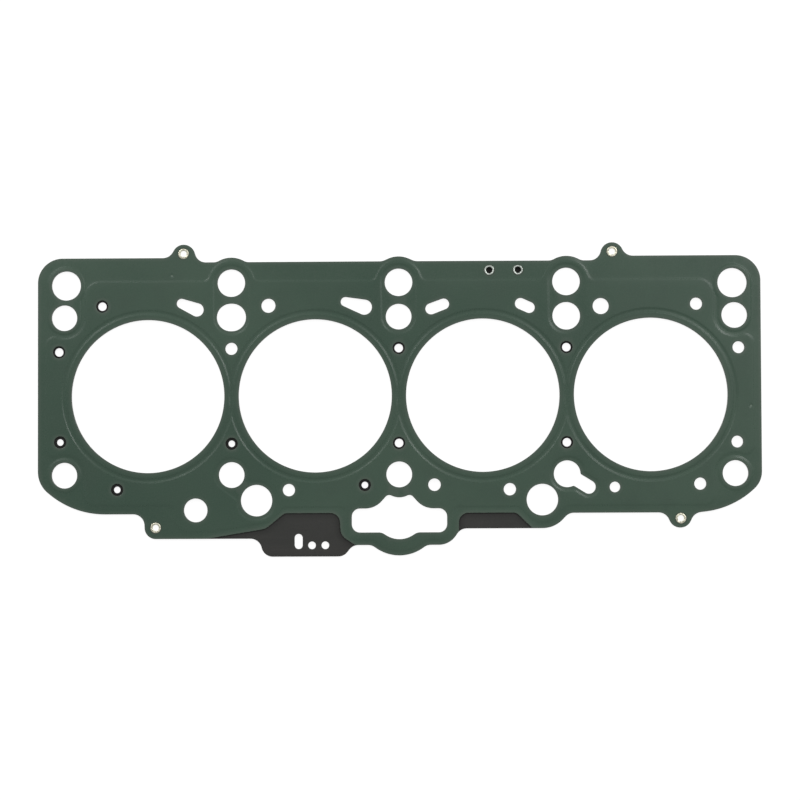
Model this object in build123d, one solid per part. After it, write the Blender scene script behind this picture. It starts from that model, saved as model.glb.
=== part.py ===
from build123d import *
import math
import os

# Cylinder head gasket for an in-line four: three steel sheets held together
# by four hollow eyelets and two small tubular rivets. It lies flat, +Z up.
# Plan coordinates below are measured from the bolt column between cylinders
# two and three, on the line through the bore centres. The finished model is
# moved so that the middle of its box is at X0 Y0 and its underside at Z0.

# ------------------------------------------------------------------ sizes (mm)
SHEET = 0.25            # thickness of the top and bottom bead sheets
CARRIER = 1.00          # thickness of the middle sheet
LIFT = 0.25             # height of the sealed field above the outer rim
RAMP = 1.60             # plan width of each half bead
BORE_PITCH = 88.0
BORE_R = 40.25
BEAD_R = 44.30          # centre radius of the full bead round each bore
BEAD_FOOT = 1.50        # half the width of that bead at its feet
BEAD_FLOOR = 0.35       # half the width of its flat
BOLT_R = 6.75
DOWEL_R = 7.25
ROW_Y = 41.45           # bolt rows above and below the bore line
END_X = 176.0           # outer bolt columns

SHIFT_X, SHIFT_Y = 0.10, 2.19   # from the bolt column to the middle of the box

Z_BOT = LIFT            # underside of the bottom sheet's rim
Z_MID = Z_BOT + SHEET   # underside of the carrier
Z_TOP = Z_MID + CARRIER # underside of the top sheet's rim
Z_END = Z_TOP + SHEET + LIFT

# ---------------------------------------------- plan outlines: x, y, corner r
OUTLINE = [
    (-190.00, -46.33, 14.5), (-170.79, -61.90, 46.0), (-134.09, -61.90, 5.9),
    (-133.60, -74.90, 5.9), (-73.38, -74.90, 6.0), (-71.30, -84.35, 6.0),
    (-29.20, -84.35, 6.0), (-24.41, -78.40, 5.9), (-14.48, -78.40, 6.0),
    (0.0, -89.05, 21.4), (14.47, -78.40, 6.0), (26.45, -78.40, 10.8),
    (32.05, -69.88, 6.0), (81.48, -69.88, 14.8), (88.71, -61.90, 6.0),
    (139.64, -61.90, 6.0), (143.10, -70.03, 5.9), (150.93, -69.64, 5.9),
    (154.41, -62.15, 6.0), (174.84, -59.79, 45.5), (189.80, -45.84, 12.2),
    (189.80, 72.90, 13.3), (119.21, 72.90, 6.0), (115.86, 80.15, 5.9),
    (107.28, 79.75, 5.9), (105.25, 70.55, 6.0), (96.18, 70.55, 6.0),
    (88.00, 74.60, 13.4), (80.17, 70.55, 6.0), (8.60, 70.60, 6.0),
    (0.0, 74.40, 13.5), (-8.60, 70.60, 6.0), (-80.19, 70.55, 6.0),
    (-88.0, 74.80, 13.5), (-95.90, 70.55, 5.9), (-105.79, 70.50, 5.9),
    (-108.68, 80.05, 5.9), (-116.61, 79.80, 5.9), (-120.59, 72.90, 6.0),
    (-190.00, 72.90, 13.0),
]
WINDOW = [
    (-24.99, -71.84, 4.3), (-9.32, -71.84, 5.2), (0.0, -77.68, 12.8),
    (9.32, -71.84, 5.2), (24.99, -71.84, 4.3), (24.99, -59.29, 4.3),
    (12.70, -59.29, 11.6), (5.95, -51.75, 2.6), (0.0, -54.40, 9.5),
    (-5.95, -51.75, 2.6), (-12.70, -59.29, 11.6), (-24.99, -59.29, 4.3),
]
# The bead sheets stop short of the label tab and of the patch beside it.
TAB_CUT = [
    (-103.0, -75.17, 0), (-70.3, -69.75, 8.0), (-60.2, -61.60, 3.5),
    (-31.4, -61.60, 5.0), (-30.8, -73.45, 7.0), (-18.0, -81.64, 0),
    (-18.0, -95.0, 0), (-103.0, -95.0, 0),
]
PATCH_CUT = [
    (31.1, -95.0, 0), (31.2, -61.70, 5.0), (61.3, -61.70, 4.0),
    (95.0, -94.7, 0),
]
# Round holes through all three sheets.
ROUND = [
    (-END_X, ROW_Y, BOLT_R), (END_X, ROW_Y, BOLT_R), (0, ROW_Y, BOLT_R),
    (-END_X, -ROW_Y, BOLT_R), (END_X, -ROW_Y, BOLT_R), (0, -ROW_Y, BOLT_R),
    (-88, -ROW_Y, BOLT_R), (88, ROW_Y, DOWEL_R),
    (-175, 58.45, 7.70), (175, 58.45, 7.70),
    (-88, 59.5, 7.25), (0, 59.5, 7.25), (88, 59.5, 7.25),
    (-74.95, -54.93, 8.25), (74.95, -54.93, 8.25), (-106.94, -59.94, 6.22),
    (106.09, 46.47, 4.24), (-68.50, 47.49, 3.72), (18.47, -46.93, 3.25),
    (156.07, 47.47, 3.20), (157.54, -46.90, 3.18), (57.94, -49.43, 3.22),
    (-57.95, -49.47, 3.22), (-88.03, 24.90, 3.20), (178.05, 24.50, 3.13),
    (177.07, -24.96, 3.07), (112.94, -48.47, 2.76),
]
# Tapered slots: two end circles each.
SLOTS = [
    ((-18.03, 46.51, 4.00), (-27.96, 49.42, 2.49)),
    ((-106.12, 45.50, 3.52), (-114.32, 48.89, 2.53)),
    ((17.05, 45.49, 2.96), (23.65, 47.97, 2.89)),
    ((64.09, 47.99, 2.96), (68.56, 45.97, 2.95)),
    ((-88.41, 41.43, 7.27), (-87.59, 41.43, 7.27)),
]
KEY = [(88.0, -41.46, 7.00), (99.37, -48.40, 3.52)]
KEY_R = 1.20                # rounding where the keyhole's arm leaves the disc
# Coolant holes that the carrier throttles: x, y, radius in the carrier.
METER_R = 3.20
METER = [
    (-156.01, 47.44, 2.24), (87.95, -24.98, 2.24), (87.97, 24.95, 2.24),
    (-178.81, 23.42, 2.24), (-0.02, 24.88, 2.24), (-0.03, -24.99, 2.24),
    (-87.94, -25.04, 1.73), (-148.22, -49.02, 1.73), (-178.22, -24.01, 1.73),
    (-18.05, -46.96, 1.73),
]
TAB_HOLES = [
    ((-52.89, -74.56, 2.10), (-52.89, -78.26, 2.10)),
    ((-45.89, -78.47, 2.00), (-45.89, -78.47, 2.00)),
    ((-38.90, -78.45, 2.00), (-38.90, -78.45, 2.00)),
]
EYELETS = [(-127.97, -69.05), (112.15, 75.17), (147.29, -64.93), (-113.20, 75.07)]
EYE_BORE, EYE_WALL_R, EYE_FLANGE_R, EYE_FLANGE_T = 1.65, 1.95, 2.75, 0.22
RIVETS = [(47.70, 65.60), (62.80, 65.70)]
RIVET_BORE, RIVET_R, RIVET_HEAD_R, RIVET_HEAD_T = 1.45, 1.80, 2.58, 0.22
PIN_CLEAR = 0.05

# --------------------------------------------------- relief of the bead sheets
# Closed lines along the middle of each half bead. Inside FIELD the sheet is
# raised; it drops again inside BASINS, and the ISLANDS outside it are raised.
FIELD = [
    (-185.8, -33.42, 4.5), (-165.1, -25.88, 10.9), (-165.1, -57.40, 5.0),
    (-118.5, -57.40, 3.0), (-118.5, -71.20, 8.0), (-98.0, -71.20, 20.0),
    (-67.8, -66.10, 5.0), (-60.5, -58.40, 3.5), (-28.4, -58.40, 3.0),
    (-28.4, -75.60, 4.0), (-14.2, -75.60, 6.0), (0.0, -86.10, 18.5),
    (14.2, -75.60, 6.0), (25.6, -75.60, 6.0), (28.6, -58.40, 3.0),
    (62.6, -58.40, 4.0), (71.0, -66.70, 8.0), (80.2, -66.70, 11.5),
    (87.6, -58.00, 5.0), (165.1, -58.00, 5.0), (165.1, -25.88, 10.9),
    (185.8, -33.42, 4.5), (185.8, 33.42, 4.5), (165.1, 25.88, 10.9),
    (165.1, 60.50, 7.9),
    (100.51, 60.50, 3.7), (88.0, 94.88, 12.1), (75.49, 60.50, 3.7),
    (12.51, 60.50, 3.7), (0.0, 94.88, 12.1), (-12.51, 60.50, 3.7),
    (-75.49, 60.50, 3.7), (-88.0, 94.88, 12.1), (-100.51, 60.50, 3.7),
    (-165.1, 60.50, 7.9), (-165.1, 25.88, 10.9), (-185.8, 33.42, 4.5),
]
BASINS = [
    [(cx - lr, ROW_Y - lr, lr - 0.1), (cx + lr, ROW_Y - lr, lr - 0.1),
     (cx + 9.5, 69.0, 9.0), (cx - 9.5, 69.0, 9.0)]
    for cx, lr in ((-88.0, 9.1), (0.0, 8.7), (88.0, 9.0))
] + [
    [(-97.0, -45.90, 9.0), (-85.2, -54.79, 2.0), (-85.2, -65.0, 9.0),
     (-64.9, -65.0, 9.8), (-64.9, -44.8, 9.8), (-78.9, -44.8, 2.5),
     (-78.9, -32.4, 8.6), (-97.0, -32.4, 8.9)],
    [(79.2, -50.26, 8.6), (92.25, -50.26, 3.0), (101.12, -55.68, 5.1),
     (106.65, -46.64, 5.1), (96.8, -40.63, 1.5), (96.8, -32.66, 7.0),
     (79.2, -32.66, 8.6)],
]
ISLANDS = [
    [(-s * 184.7, 32.85, 8.4), (-s * 167.5, 32.85, 8.4), (-s * 167.5, 51.0, 3.0),
     (-s * 165.3, 55.0, 3.0), (-s * 165.3, 68.15, 9.6), (-s * 184.7, 68.15, 9.6)]
    for s in (1, -1)
] + [
    [(s * 176 - 8.8, -ROW_Y - 8.8, 8.7), (s * 176 + 8.8, -ROW_Y - 8.8, 8.7),
     (s * 176 + 8.8, -ROW_Y + 8.8, 8.7), (s * 176 - 8.8, -ROW_Y + 8.8, 8.7)]
    for s in (1, -1)
]
# Small pressed dimples that keep the sheets from sticking in the stack.
DIMPLES = [(-119.3, 63.4), (184.4, -6.2)]
DIMPLE_R, DIMPLE_DEEP = 1.25, 0.12


# ------------------------------------------------------------------ plan tools
def ccw(poly):
    a = sum(poly[i - 1][0] * poly[i][1] - poly[i][0] * poly[i - 1][1]
            for i in range(len(poly)))
    return list(poly) if a > 0 else list(reversed(poly))


def corners(poly):
    """Tangent points, mid point and signed turn of every rounded corner."""
    out = []
    n = len(poly)
    for i in range(n):
        px, py, r = poly[i]
        ax, ay = poly[i - 1][0] - px, poly[i - 1][1] - py
        bx, by = poly[(i + 1) % n][0] - px, poly[(i + 1) % n][1] - py
        la, lb = math.hypot(ax, ay), math.hypot(bx, by)
        ax, ay, bx, by = ax / la, ay / la, bx / lb, by / lb
        turn = ax * by - ay * bx            # negative at a convex corner (ccw)
        half = math.acos(max(-1, min(1, ax * bx + ay * by))) / 2
        if r <= 0:
            out.append(((px, py), None, (px, py), turn, half))
            continue
        t = r / math.tan(half)
        sx, sy = ax + bx, ay + by
        s = math.hypot(sx, sy)
        sx, sy = sx / s, sy / s
        d = r / math.sin(half) - r
        out.append(((px + ax * t, py + ay * t), (px + sx * d, py + sy * d),
                    (px + bx * t, py + by * t), turn, half))
    return out


def wire(poly, z=0.0):
    """Closed wire of lines and tangent arcs through the rounded polygon."""
    c = corners(poly)
    edges = []
    for i in range(len(c)):
        a, m, b = c[i][0], c[i][1], c[i][2]
        if m:
            edges.append(Edge.make_three_point_arc((*a, z), (*m, z), (*b, z)))
        nx = c[(i + 1) % len(c)][0]
        if math.hypot(nx[0] - b[0], nx[1] - b[1]) > 1e-6:
            edges.append(Edge.make_line((*b, z), (*nx, z)))
    return Wire(edges)


def shifted(poly, d):
    """The rounded polygon moved outwards by d, arcs staying concentric."""
    poly = ccw(poly)
    n = len(poly)
    c = corners(poly)
    out = []
    for i in range(n):
        px, py, r = poly[i]
        ax, ay = px - poly[i - 1][0], py - poly[i - 1][1]
        bx, by = poly[(i + 1) % n][0] - px, poly[(i + 1) % n][1] - py
        la, lb = math.hypot(ax, ay), math.hypot(bx, by)
        n1, n2 = (ay / la, -ax / la), (by / lb, -bx / lb)
        k = d / (1 + n1[0] * n2[0] + n1[1] * n2[1])
        convex = c[i][3] < 0
        out.append((px + (n1[0] + n2[0]) * k, py + (n1[1] + n2[1]) * k,
                    r + d if convex else r - d))
    return out


def slab(poly, z0, z1):
    return Solid.extrude(Face(wire(ccw(poly), z0)), Vector(0, 0, z1 - z0))


def ramped(poly, z0, z1, grow):
    """Closed solid from the line pushed out by grow at z0 to in by grow at z1."""
    return Solid.make_loft([wire(shifted(poly, grow), z0),
                            wire(shifted(poly, -grow), z1)], ruled=True)


def disc(x, y, r, z0, z1):
    return Pos(x, y, (z0 + z1) / 2) * Cylinder(r, z1 - z0)


def slot(a, b, z0, z1):
    """Hull of two circles as a solid between z0 and z1."""
    (ax, ay, ar), (bx, by, br) = a, b
    d = math.hypot(bx - ax, by - ay)
    if d < 1e-6:
        return disc(ax, ay, ar, z0, z1)
    base = math.atan2(by - ay, bx - ax)
    off = math.acos((ar - br) / d)
    pt = lambda x, y, r, t: (x + r * math.cos(t), y + r * math.sin(t), z0)
    a1, a2 = pt(ax, ay, ar, base + off), pt(ax, ay, ar, base - off)
    b1, b2 = pt(bx, by, br, base + off), pt(bx, by, br, base - off)
    w = Wire([Edge.make_three_point_arc(a1, pt(ax, ay, ar, base + math.pi), a2),
              Edge.make_line(a2, b2),
              Edge.make_three_point_arc(b2, pt(bx, by, br, base), b1),
              Edge.make_line(b1, a1)])
    return Solid.extrude(Face(w), Vector(0, 0, z1 - z0))


def keyhole(a, b, rf, z0, z1):
    """Disc with a straight arm, the corners between them rounded by rf."""
    (ax, ay, ar), (bx, by, br) = a, b
    length = math.hypot(bx - ax, by - ay)
    ux, uy = (bx - ax) / length, (by - ay) / length
    at = lambda u, v: (ax + ux * u - uy * v, ay + uy * u + ux * v, z0)
    vc = br + rf
    uc = math.sqrt((ar + rf) ** 2 - vc ** 2)
    k = ar / (ar + rf)
    # middle of the rounding: from its centre towards the open corner
    mid = ((math.atan2(-vc, -uc)) % (2 * math.pi) + 1.5 * math.pi) / 2
    mu, mv = uc + rf * math.cos(mid), vc + rf * math.sin(mid)
    w = Wire([Edge.make_three_point_arc(at(length, -br), at(length + br, 0), at(length, br)),
              Edge.make_line(at(length, br), at(uc, br)),
              Edge.make_three_point_arc(at(uc, br), at(mu, mv), at(uc * k, vc * k)),
              Edge.make_three_point_arc(at(uc * k, vc * k), at(-ar, 0), at(uc * k, -vc * k)),
              Edge.make_three_point_arc(at(uc * k, -vc * k), at(mu, -mv), at(uc, -br)),
              Edge.make_line(at(uc, -br), at(length, -br))])
    return Solid.extrude(Face(w), Vector(0, 0, z1 - z0))


# ------------------------------------------------------------- relief of sheet
G = RAMP / 2
DEEP = -1.0
WIDE = [(-200, -95, 0), (200, -95, 0), (200, 92, 0), (-200, 92, 0)]

body = slab(WIDE, DEEP, 0.0)
body = body + (slab(shifted(FIELD, G), DEEP, 0.0) + ramped(FIELD, 0.0, LIFT, G))
for line in ISLANDS:
    body = body + ramped(line, 0.0, LIFT, G)
for line in BASINS:
    # the basin narrows downwards: its floor is level with the rim
    body = body - Solid.make_loft([wire(shifted(line, -G), 0.0),
                                   wire(shifted(line, G), LIFT)], ruled=True)
for k in (-1.5, -0.5, 0.5, 1.5):
    prof = Face(Wire.make_polygon([(BEAD_R - BEAD_FLOOR, 0, 0.0),
                                   (BEAD_R + BEAD_FLOOR, 0, 0.0),
                                   (BEAD_R + BEAD_FOOT, 0, LIFT),
                                   (BEAD_R + BEAD_FOOT, 0, LIFT + 0.5),
                                   (BEAD_R - BEAD_FOOT, 0, LIFT + 0.5),
                                   (BEAD_R - BEAD_FOOT, 0, LIFT)], close=True))
    ring = Solid.revolve(prof, 360, Axis.Z)
    body = body - ring.moved(Location((k * BORE_PITCH, 0, 0)))

relief = body.moved(Location((0, 0, SHEET))) - body     # oversize relief sheet

# ---------------------------------------------------------------- hole cutters
Z0, Z1 = -2.0, 4.0
thru = [disc(x, y, r, Z0, Z1) for x, y, r in ROUND]
thru += [disc(k * BORE_PITCH, 0, BORE_R, Z0, Z1) for k in (-1.5, -0.5, 0.5, 1.5)]
thru += [slot(a, b, Z0, Z1) for a, b in SLOTS]
thru.append(slab(WINDOW, Z0, Z1))
thru.append(keyhole(*KEY, KEY_R, Z0, Z1))
pins = [disc(x, y, EYE_WALL_R + PIN_CLEAR, Z0, Z1) for x, y in EYELETS]
pins += [disc(x, y, RIVET_R + PIN_CLEAR, Z0, Z1) for x, y in RIVETS]
meter_wide = [disc(x, y, METER_R, Z0, Z1) for x, y, r in METER]
meter_fine = [disc(x, y, r, Z0, Z1) for x, y, r in METER]
tab_holes = [slot(a, b, Z0, Z1) for a, b in TAB_HOLES]
cuts = [slab(TAB_CUT, Z0, Z1), slab(PATCH_CUT, Z0, Z1)]

blank = slab(OUTLINE, Z0, Z1)


def one(shape):
    s = shape.solids() if not isinstance(shape, Solid) else [shape]
    return sorted(s, key=lambda q: q.volume)[-1]


bead_sheet = one(relief & blank)
bead_sheet = one(bead_sheet.cut(*thru, *pins, *meter_wide, *cuts))
for x, y in DIMPLES:
    ball = (DIMPLE_R ** 2 + DIMPLE_DEEP ** 2) / (2 * DIMPLE_DEEP)
    top = SHEET + (LIFT if x > 150 else 0.0)
    bead_sheet = one(bead_sheet - Pos(x, y, top + ball - DIMPLE_DEEP) * Sphere(ball))

upper_sheet = bead_sheet.moved(Location((0, 0, Z_TOP)))
lower_sheet = one(Solid(bead_sheet.mirror(Plane.XY).wrapped)).moved(
    Location((0, 0, Z_MID)))
core_sheet = slab(OUTLINE, Z_MID, Z_TOP)
core_sheet = one(core_sheet.cut(*thru, *pins, *meter_fine, *tab_holes))

# -------------------------------------------------------------------- fasteners
# Eyelet: a tube with a flange at each end, its edges broken.
RIM_LOW, RIM_HIGH = Z_BOT, Z_TOP + SHEET


def turned(points):
    return Solid.revolve(Face(Wire.make_polygon(
        [(r, 0, z) for r, z in points], close=True)), 360, Axis.Z)


fl, b = EYE_FLANGE_T, 0.07
eyelet = turned([
    (EYE_BORE + 0.10, RIM_LOW - fl), (EYE_FLANGE_R - b, RIM_LOW - fl),
    (EYE_FLANGE_R, RIM_LOW - fl + b), (EYE_FLANGE_R, RIM_LOW),
    (EYE_WALL_R, RIM_LOW), (EYE_WALL_R, RIM_HIGH),
    (EYE_FLANGE_R, RIM_HIGH), (EYE_FLANGE_R, RIM_HIGH + fl - b),
    (EYE_FLANGE_R - b, RIM_HIGH + fl), (EYE_BORE + 0.25, RIM_HIGH + fl),
    (EYE_BORE + 0.07, RIM_HIGH + fl - 0.08), (EYE_BORE, RIM_HIGH + fl - 0.25),
    (EYE_BORE, RIM_LOW - fl + 0.10)])
eyelets = [eyelet.moved(Location((x, y, 0))) for x, y in EYELETS]

# Rivet: flat lower head, shank drilled from above, its mouth rolled over.
hd = RIVET_HEAD_T
rolled = [(RIVET_HEAD_R - 0.33 + 0.33 * math.cos(t), RIM_HIGH + 0.13 + 0.33 * math.sin(t))
          for t in [math.radians(a) for a in (-22, 0, 22, 45, 68, 90)]]
rolled += [(RIVET_BORE + 0.62, RIM_HIGH + 0.46), (RIVET_BORE + 0.30, RIM_HIGH + 0.38),
           (RIVET_BORE + 0.08, RIM_HIGH + 0.22), (RIVET_BORE, RIM_HIGH)]
rivet = turned([
    (0, RIM_LOW - hd), (RIVET_HEAD_R - b, RIM_LOW - hd),
    (RIVET_HEAD_R, RIM_LOW - hd + b), (RIVET_HEAD_R, RIM_LOW),
    (RIVET_R, RIM_LOW), (RIVET_R, RIM_HIGH), (RIVET_HEAD_R - 0.03, RIM_HIGH)]
    + rolled + [(RIVET_BORE, RIM_LOW + 0.25), (0, RIM_LOW + 0.12)])
small_rivets = [rivet.moved(Location((x, y, 0))) for x, y in RIVETS]

# ---------------------------------------------------------------- place, export
box = core_sheet.bounding_box()
print("middle of the plan box", (box.min.X + box.max.X) / 2, (box.min.Y + box.max.Y) / 2)
MOVE = Location((SHIFT_X, SHIFT_Y, 0))

NODES = {
    "upper_sheet": [upper_sheet], "core_sheet": [core_sheet],
    "lower_sheet": [lower_sheet], "eyelets": eyelets,
    "small_rivets": small_rivets,
}
os.makedirs("parts", exist_ok=True)
for name, solids in NODES.items():
    placed = [s.moved(MOVE) for s in solids]
    shape = placed[0] if len(placed) == 1 else Compound(placed)
    bb = shape.bounding_box()
    print(name, "solids", len(shape.solids()), "volume %.2f" % shape.volume,
          "box", [round(v, 3) for v in (*bb.min, *bb.max)], "valid", shape.is_valid)
    export_step(shape, "parts/%s.step" % name)
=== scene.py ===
import math

import bpy
import numpy as np
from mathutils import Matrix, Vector
from mathutils.geometry import delaunay_2d_cdt


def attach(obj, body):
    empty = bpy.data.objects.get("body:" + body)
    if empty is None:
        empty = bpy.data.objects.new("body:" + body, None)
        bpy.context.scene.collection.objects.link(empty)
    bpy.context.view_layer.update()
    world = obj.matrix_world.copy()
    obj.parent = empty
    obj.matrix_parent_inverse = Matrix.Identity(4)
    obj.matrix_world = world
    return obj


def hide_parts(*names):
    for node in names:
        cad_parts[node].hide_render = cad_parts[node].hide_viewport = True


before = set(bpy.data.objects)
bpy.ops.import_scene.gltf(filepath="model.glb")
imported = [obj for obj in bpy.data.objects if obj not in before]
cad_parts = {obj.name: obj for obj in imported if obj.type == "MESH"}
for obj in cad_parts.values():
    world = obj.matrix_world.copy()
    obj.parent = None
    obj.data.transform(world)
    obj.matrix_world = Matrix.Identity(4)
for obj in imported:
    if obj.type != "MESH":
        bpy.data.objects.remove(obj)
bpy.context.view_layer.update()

MM = 0.001

# ------------------------------------------------------------------ sizes (mm)
# The same numbers as the CAD source: plan coordinates from the bolt column
# between cylinders two and three; the part frame adds SHIFT.
SHEET, CARRIER, LIFT, RAMP = 0.25, 1.00, 0.25, 1.60
BORE_X = (-132.0, -44.0, 44.0, 132.0)
BORE_R, BEAD_R, BEAD_FOOT, BEAD_FLOOR = 40.25, 44.30, 1.50, 0.35
BOLT_R, DOWEL_R, ROW_Y, END_X = 6.75, 7.25, 41.45, 176.0
SHIFT = np.array([0.10, 2.19])
Z_BOT = LIFT
Z_MID = Z_BOT + SHEET
Z_TOP = Z_MID + CARRIER

OUTLINE = [
    (-190.00, -46.33, 14.5), (-170.79, -61.90, 46.0), (-134.09, -61.90, 5.9),
    (-133.60, -74.90, 5.9), (-73.38, -74.90, 6.0), (-71.30, -84.35, 6.0),
    (-29.20, -84.35, 6.0), (-24.41, -78.40, 5.9), (-14.48, -78.40, 6.0),
    (0.0, -89.05, 21.4), (14.47, -78.40, 6.0), (26.45, -78.40, 10.8),
    (32.05, -69.88, 6.0), (81.48, -69.88, 14.8), (88.71, -61.90, 6.0),
    (139.64, -61.90, 6.0), (143.10, -70.03, 5.9), (150.93, -69.64, 5.9),
    (154.41, -62.15, 6.0), (174.84, -59.79, 45.5), (189.80, -45.84, 12.2),
    (189.80, 72.90, 13.3), (119.21, 72.90, 6.0), (115.86, 80.15, 5.9),
    (107.28, 79.75, 5.9), (105.25, 70.55, 6.0), (96.18, 70.55, 6.0),
    (88.00, 74.60, 13.4), (80.17, 70.55, 6.0), (8.60, 70.60, 6.0),
    (0.0, 74.40, 13.5), (-8.60, 70.60, 6.0), (-80.19, 70.55, 6.0),
    (-88.0, 74.80, 13.5), (-95.90, 70.55, 5.9), (-105.79, 70.50, 5.9),
    (-108.68, 80.05, 5.9), (-116.61, 79.80, 5.9), (-120.59, 72.90, 6.0),
    (-190.00, 72.90, 13.0),
]
WINDOW = [
    (-24.99, -71.84, 4.3), (-9.32, -71.84, 5.2), (0.0, -77.68, 12.8),
    (9.32, -71.84, 5.2), (24.99, -71.84, 4.3), (24.99, -59.29, 4.3),
    (12.70, -59.29, 11.6), (5.95, -51.75, 2.6), (0.0, -54.40, 9.5),
    (-5.95, -51.75, 2.6), (-12.70, -59.29, 11.6), (-24.99, -59.29, 4.3),
]
TAB_CUT = [
    (-103.0, -75.17, 0), (-70.3, -69.75, 8.0), (-60.2, -61.60, 3.5),
    (-31.4, -61.60, 5.0), (-30.8, -73.45, 7.0), (-18.0, -81.64, 0),
    (-18.0, -95.0, 0), (-103.0, -95.0, 0),
]
PATCH_CUT = [
    (31.1, -95.0, 0), (31.2, -61.70, 5.0), (61.3, -61.70, 4.0),
    (95.0, -94.7, 0),
]
ROUND = [
    (-END_X, ROW_Y, BOLT_R), (END_X, ROW_Y, BOLT_R), (0, ROW_Y, BOLT_R),
    (-END_X, -ROW_Y, BOLT_R), (END_X, -ROW_Y, BOLT_R), (0, -ROW_Y, BOLT_R),
    (-88, -ROW_Y, BOLT_R), (88, ROW_Y, DOWEL_R),
    (-175, 58.45, 7.70), (175, 58.45, 7.70),
    (-88, 59.5, 7.25), (0, 59.5, 7.25), (88, 59.5, 7.25),
    (-74.95, -54.93, 8.25), (74.95, -54.93, 8.25), (-106.94, -59.94, 6.22),
    (106.09, 46.47, 4.24), (-68.50, 47.49, 3.72), (18.47, -46.93, 3.25),
    (156.07, 47.47, 3.20), (157.54, -46.90, 3.18), (57.94, -49.43, 3.22),
    (-57.95, -49.47, 3.22), (-88.03, 24.90, 3.20), (178.05, 24.50, 3.13),
    (177.07, -24.96, 3.07), (112.94, -48.47, 2.76),
]
SLOTS = [
    ((-18.03, 46.51, 4.00), (-27.96, 49.42, 2.49)),
    ((-106.12, 45.50, 3.52), (-114.32, 48.89, 2.53)),
    ((17.05, 45.49, 2.96), (23.65, 47.97, 2.89)),
    ((64.09, 47.99, 2.96), (68.56, 45.97, 2.95)),
    ((-88.41, 41.43, 7.27), (-87.59, 41.43, 7.27)),
]
KEY = [(88.0, -41.46, 7.00), (99.37, -48.40, 3.52)]
KEY_R = 1.20
METER_R = 3.20
METER = [
    (-156.01, 47.44, 2.24), (87.95, -24.98, 2.24), (87.97, 24.95, 2.24),
    (-178.81, 23.42, 2.24), (-0.02, 24.88, 2.24), (-0.03, -24.99, 2.24),
    (-87.94, -25.04, 1.73), (-148.22, -49.02, 1.73), (-178.22, -24.01, 1.73),
    (-18.05, -46.96, 1.73),
]
TAB_HOLES = [
    ((-52.89, -74.56, 2.10), (-52.89, -78.26, 2.10)),
    ((-45.89, -78.47, 2.00), (-45.89, -78.47, 2.00)),
    ((-38.90, -78.45, 2.00), (-38.90, -78.45, 2.00)),
]
EYELETS = [(-127.97, -69.05), (112.15, 75.17), (147.29, -64.93), (-113.20, 75.07)]
EYE_BORE, EYE_WALL_R, EYE_FLANGE_R, EYE_FLANGE_T = 1.65, 1.95, 2.75, 0.22
RIVETS = [(47.70, 65.60), (62.80, 65.70)]
RIVET_BORE, RIVET_R, RIVET_HEAD_R, RIVET_HEAD_T = 1.45, 1.80, 2.58, 0.22
PIN_CLEAR = 0.05
FIELD = [
    (-185.8, -33.42, 4.5), (-165.1, -25.88, 10.9), (-165.1, -57.40, 5.0),
    (-118.5, -57.40, 3.0), (-118.5, -71.20, 8.0), (-98.0, -71.20, 20.0),
    (-67.8, -66.10, 5.0), (-60.5, -58.40, 3.5), (-28.4, -58.40, 3.0),
    (-28.4, -75.60, 4.0), (-14.2, -75.60, 6.0), (0.0, -86.10, 18.5),
    (14.2, -75.60, 6.0), (25.6, -75.60, 6.0), (28.6, -58.40, 3.0),
    (62.6, -58.40, 4.0), (71.0, -66.70, 8.0), (80.2, -66.70, 11.5),
    (87.6, -58.00, 5.0), (165.1, -58.00, 5.0), (165.1, -25.88, 10.9),
    (185.8, -33.42, 4.5), (185.8, 33.42, 4.5), (165.1, 25.88, 10.9),
    (165.1, 60.50, 7.9),
    (100.51, 60.50, 3.7), (88.0, 94.88, 12.1), (75.49, 60.50, 3.7),
    (12.51, 60.50, 3.7), (0.0, 94.88, 12.1), (-12.51, 60.50, 3.7),
    (-75.49, 60.50, 3.7), (-88.0, 94.88, 12.1), (-100.51, 60.50, 3.7),
    (-165.1, 60.50, 7.9), (-165.1, 25.88, 10.9), (-185.8, 33.42, 4.5),
]
BASINS = [
    [(cx - lr, ROW_Y - lr, lr - 0.1), (cx + lr, ROW_Y - lr, lr - 0.1),
     (cx + 9.5, 69.0, 9.0), (cx - 9.5, 69.0, 9.0)]
    for cx, lr in ((-88.0, 9.1), (0.0, 8.7), (88.0, 9.0))
] + [
    [(-97.0, -45.90, 9.0), (-85.2, -54.79, 2.0), (-85.2, -65.0, 9.0),
     (-64.9, -65.0, 9.8), (-64.9, -44.8, 9.8), (-78.9, -44.8, 2.5),
     (-78.9, -32.4, 8.6), (-97.0, -32.4, 8.9)],
    [(79.2, -50.26, 8.6), (92.25, -50.26, 3.0), (101.12, -55.68, 5.1),
     (106.65, -46.64, 5.1), (96.8, -40.63, 1.5), (96.8, -32.66, 7.0),
     (79.2, -32.66, 8.6)],
]
BASIN_DEEP = (0.80, 0.80, 0.80, 0.62, 1.0)   # how far each basin is pressed down
ISLANDS = [
    [(-s * 184.7, 32.85, 8.4), (-s * 167.5, 32.85, 8.4), (-s * 167.5, 51.0, 3.0),
     (-s * 165.3, 55.0, 3.0), (-s * 165.3, 68.15, 9.6), (-s * 184.7, 68.15, 9.6)]
    for s in (1, -1)
] + [
    [(s * 176 - 8.8, -ROW_Y - 8.8, 8.7), (s * 176 + 8.8, -ROW_Y - 8.8, 8.7),
     (s * 176 + 8.8, -ROW_Y + 8.8, 8.7), (s * 176 - 8.8, -ROW_Y + 8.8, 8.7)]
    for s in (1, -1)
]
DIMPLES = [(-119.3, 63.4), (184.4, -6.2)]
DIMPLE_R, DIMPLE_DEEP = 1.25, 0.12
CURL, CURL_W = 0.26, 5.5        # how far the free edges by the tab stand up
LIP_SHADOW, LIP_SHADOW_W = 0.66, 4.4           # painted shadow line on the middle sheet under the lip of a cut-back
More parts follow.
